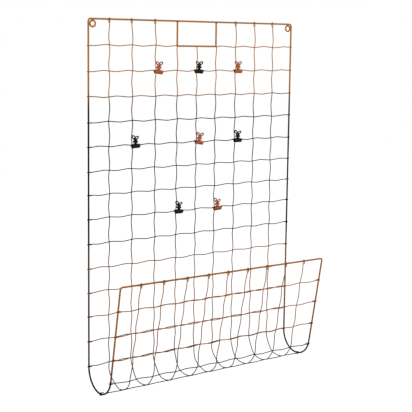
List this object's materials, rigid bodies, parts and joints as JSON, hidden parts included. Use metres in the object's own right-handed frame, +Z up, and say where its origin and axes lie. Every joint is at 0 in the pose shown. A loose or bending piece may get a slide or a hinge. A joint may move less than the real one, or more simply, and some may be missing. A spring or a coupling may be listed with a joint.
{
  "type": "wall magazine rack",
  "caption": "Wall rack of crimped wire mesh in a rod frame, folded up at the bottom into a leaning magazine pocket, with small sprung bulldog clips on the mesh.",
  "frame": {"origin": "midway between the centres of the two hanging eyelets, in the plane of the back", "axes": "+Z up, +X to the right as seen from the room, -Y out of the wall towards the room"},
  "size_m": [0.5178, 0.1354, 0.7438],
  "materials": {
    "copper_lacquer": "metallic copper lacquer on steel wire",
    "brown_lacquer": "metallic lacquer between copper and black",
    "black_lacquer": "satin black lacquer on steel wire",
    "fading_lacquer": "lacquer that fades from copper to black and back along the rod",
    "copper_plate": "bright copper plate on sprung steel sheet",
    "black_enamel": "gloss black enamel on sprung steel sheet"
  },
  "bodies": {
    "rack": {"frame_rod": "fading_lacquer", "label_frame": "copper_lacquer", "eyelet_left": "copper_lacquer", "eyelet_right": "copper_lacquer", "column_1": "fading_lacquer", "column_2": "fading_lacquer", "column_3": "fading_lacquer", "column_4": "fading_lacquer", "column_5": "fading_lacquer", "column_6": "fading_lacquer", "column_7": "fading_lacquer", "column_8": "fading_lacquer", "column_9": "fading_lacquer", "row_1_left": "copper_lacquer", "row_1_right": "copper_lacquer", "row_2": "copper_lacquer", "row_3": "copper_lacquer", "row_4": "black_lacquer", "row_5": "black_lacquer", "row_6": "black_lacquer", "row_7": "black_lacquer", "row_8": "black_lacquer", "row_9": "black_lacquer", "row_10": "brown_lacquer", "row_11": "brown_lacquer", "row_12": "brown_lacquer", "row_13": "brown_lacquer", "row_14": "brown_lacquer", "bottom_row": "black_lacquer", "front_row_1": "brown_lacquer", "front_row_2": "copper_lacquer", "front_row_3": "copper_lacquer", "front_row_4": "copper_lacquer", "clip_1_spring": "copper_plate", "clip_2_spring": "black_enamel", "clip_3_spring": "copper_plate", "clip_4_spring": "black_enamel", "clip_5_spring": "copper_plate", "clip_6_spring": "black_enamel", "clip_7_spring": "black_enamel", "clip_8_spring": "copper_plate"},
    "clip_1_front": {"clip_1_front_lever": "copper_plate"},
    "clip_1_rear": {"clip_1_rear_lever": "copper_plate"},
    "clip_2_front": {"clip_2_front_lever": "black_enamel"},
    "clip_2_rear": {"clip_2_rear_lever": "black_enamel"},
    "clip_3_front": {"clip_3_front_lever": "copper_plate"},
    "clip_3_rear": {"clip_3_rear_lever": "copper_plate"},
    "clip_4_front": {"clip_4_front_lever": "black_enamel"},
    "clip_4_rear": {"clip_4_rear_lever": "black_enamel"},
    "clip_5_front": {"clip_5_front_lever": "copper_plate"},
    "clip_5_rear": {"clip_5_rear_lever": "copper_plate"},
    "clip_6_front": {"clip_6_front_lever": "black_enamel"},
    "clip_6_rear": {"clip_6_rear_lever": "black_enamel"},
    "clip_7_front": {"clip_7_front_lever": "black_enamel"},
    "clip_7_rear": {"clip_7_rear_lever": "black_enamel"},
    "clip_8_front": {"clip_8_front_lever": "copper_plate"},
    "clip_8_rear": {"clip_8_rear_lever": "copper_plate"}
  },
  "joints": [
    {"name": "clip_1_front_squeeze", "type": "hinge", "parent": "rack", "child": "clip_1_front", "pos_m": [-0.09285, -0.00095, -0.08581], "axis": [-0.9928, 0, 0.1194], "range_deg": [0, 18], "stiffness_Nm_per_rad": 0.08, "springref_deg": -25.78},
    {"name": "clip_1_rear_squeeze", "type": "hinge", "parent": "rack", "child": "clip_1_rear", "pos_m": [-0.09285, -0.00095, -0.08581], "axis": [0.9928, 0, -0.1194], "range_deg": [0, 18], "stiffness_Nm_per_rad": 0.08, "springref_deg": -25.78},
    {"name": "clip_2_front_squeeze", "type": "hinge", "parent": "rack", "child": "clip_2_front", "pos_m": [0.00685, -0.00095, -0.085], "axis": [-0.998, 0, 0.0635], "range_deg": [0, 18], "stiffness_Nm_per_rad": 0.08, "springref_deg": -25.78},
    {"name": "clip_2_rear_squeeze", "type": "hinge", "parent": "rack", "child": "clip_2_rear", "pos_m": [0.00685, -0.00095, -0.085], "axis": [0.998, 0, -0.0635], "range_deg": [0, 18], "stiffness_Nm_per_rad": 0.08, "springref_deg": -25.78},
    {"name": "clip_3_front_squeeze", "type": "hinge", "parent": "rack", "child": "clip_3_front", "pos_m": [0.10909, -0.00095, -0.08493], "axis": [-1, 0, -0.0015], "range_deg": [0, 18], "stiffness_Nm_per_rad": 0.08, "springref_deg": -25.78},
    {"name": "clip_3_rear_squeeze", "type": "hinge", "parent": "rack", "child": "clip_3_rear", "pos_m": [0.10909, -0.00095, -0.08493], "axis": [1, 0, 0.0015], "range_deg": [0, 18], "stiffness_Nm_per_rad": 0.08, "springref_deg": -25.78},
    {"name": "clip_4_front_squeeze", "type": "hinge", "parent": "rack", "child": "clip_4_front", "pos_m": [-0.148, -0.00095, -0.23418], "axis": [-0.9985, 0, -0.0542], "range_deg": [0, 18], "stiffness_Nm_per_rad": 0.08, "springref_deg": -25.78},
    {"name": "clip_4_rear_squeeze", "type": "hinge", "parent": "rack", "child": "clip_4_rear", "pos_m": [-0.148, -0.00095, -0.23418], "axis": [0.9985, 0, 0.0542], "range_deg": [0, 18], "stiffness_Nm_per_rad": 0.08, "springref_deg": -25.78},
    {"name": "clip_5_front_squeeze", "type": "hinge", "parent": "rack", "child": "clip_5_front", "pos_m": [0.01004, -0.00095, -0.2338], "axis": [-0.9867, 0, 0.1626], "range_deg": [0, 18], "stiffness_Nm_per_rad": 0.08, "springref_deg": -25.78},
    {"name": "clip_5_rear_squeeze", "type": "hinge", "parent": "rack", "child": "clip_5_rear", "pos_m": [0.01004, -0.00095, -0.2338], "axis": [0.9867, 0, -0.1626], "range_deg": [0, 18], "stiffness_Nm_per_rad": 0.08, "springref_deg": -25.78},
    {"name": "clip_6_front_squeeze", "type": "hinge", "parent": "rack", "child": "clip_6_front", "pos_m": [0.11103, -0.00095, -0.23342], "axis": [-1, 0, -0.0012], "range_deg": [0, 18], "stiffness_Nm_per_rad": 0.08, "springref_deg": -25.78},
    {"name": "clip_6_rear_squeeze", "type": "hinge", "parent": "rack", "child": "clip_6_rear", "pos_m": [0.11103, -0.00095, -0.23342], "axis": [1, 0, 0.0012], "range_deg": [0, 18], "stiffness_Nm_per_rad": 0.08, "springref_deg": -25.78},
    {"name": "clip_7_front_squeeze", "type": "hinge", "parent": "rack", "child": "clip_7_front", "pos_m": [-0.04072, -0.00095, -0.37692], "axis": [-1, 0, -0.0062], "range_deg": [0, 18], "stiffness_Nm_per_rad": 0.08, "springref_deg": -25.78},
    {"name": "clip_7_rear_squeeze", "type": "hinge", "parent": "rack", "child": "clip_7_rear", "pos_m": [-0.04072, -0.00095, -0.37692], "axis": [1, 0, 0.0062], "range_deg": [0, 18], "stiffness_Nm_per_rad": 0.08, "springref_deg": -25.78},
    {"name": "clip_8_front_squeeze", "type": "hinge", "parent": "rack", "child": "clip_8_front", "pos_m": [0.05899, -0.00095, -0.37794], "axis": [-0.9977, 0, -0.0672], "range_deg": [0, 18], "stiffness_Nm_per_rad": 0.08, "springref_deg": -25.78},
    {"name": "clip_8_rear_squeeze", "type": "hinge", "parent": "rack", "child": "clip_8_rear", "pos_m": [0.05899, -0.00095, -0.37794], "axis": [0.9977, 0, 0.0672], "range_deg": [0, 18], "stiffness_Nm_per_rad": 0.08, "springref_deg": -25.78}
  ],
  "couplings": [
    {"joint": "clip_1_rear_squeeze", "follows": "clip_1_front_squeeze", "ratio": 1},
    {"joint": "clip_2_rear_squeeze", "follows": "clip_2_front_squeeze", "ratio": 1},
    {"joint": "clip_3_rear_squeeze", "follows": "clip_3_front_squeeze", "ratio": 1},
    {"joint": "clip_4_rear_squeeze", "follows": "clip_4_front_squeeze", "ratio": 1},
    {"joint": "clip_5_rear_squeeze", "follows": "clip_5_front_squeeze", "ratio": 1},
    {"joint": "clip_6_rear_squeeze", "follows": "clip_6_front_squeeze", "ratio": 1},
    {"joint": "clip_7_rear_squeeze", "follows": "clip_7_front_squeeze", "ratio": 1},
    {"joint": "clip_8_rear_squeeze", "follows": "clip_8_front_squeeze", "ratio": 1}
  ]
}
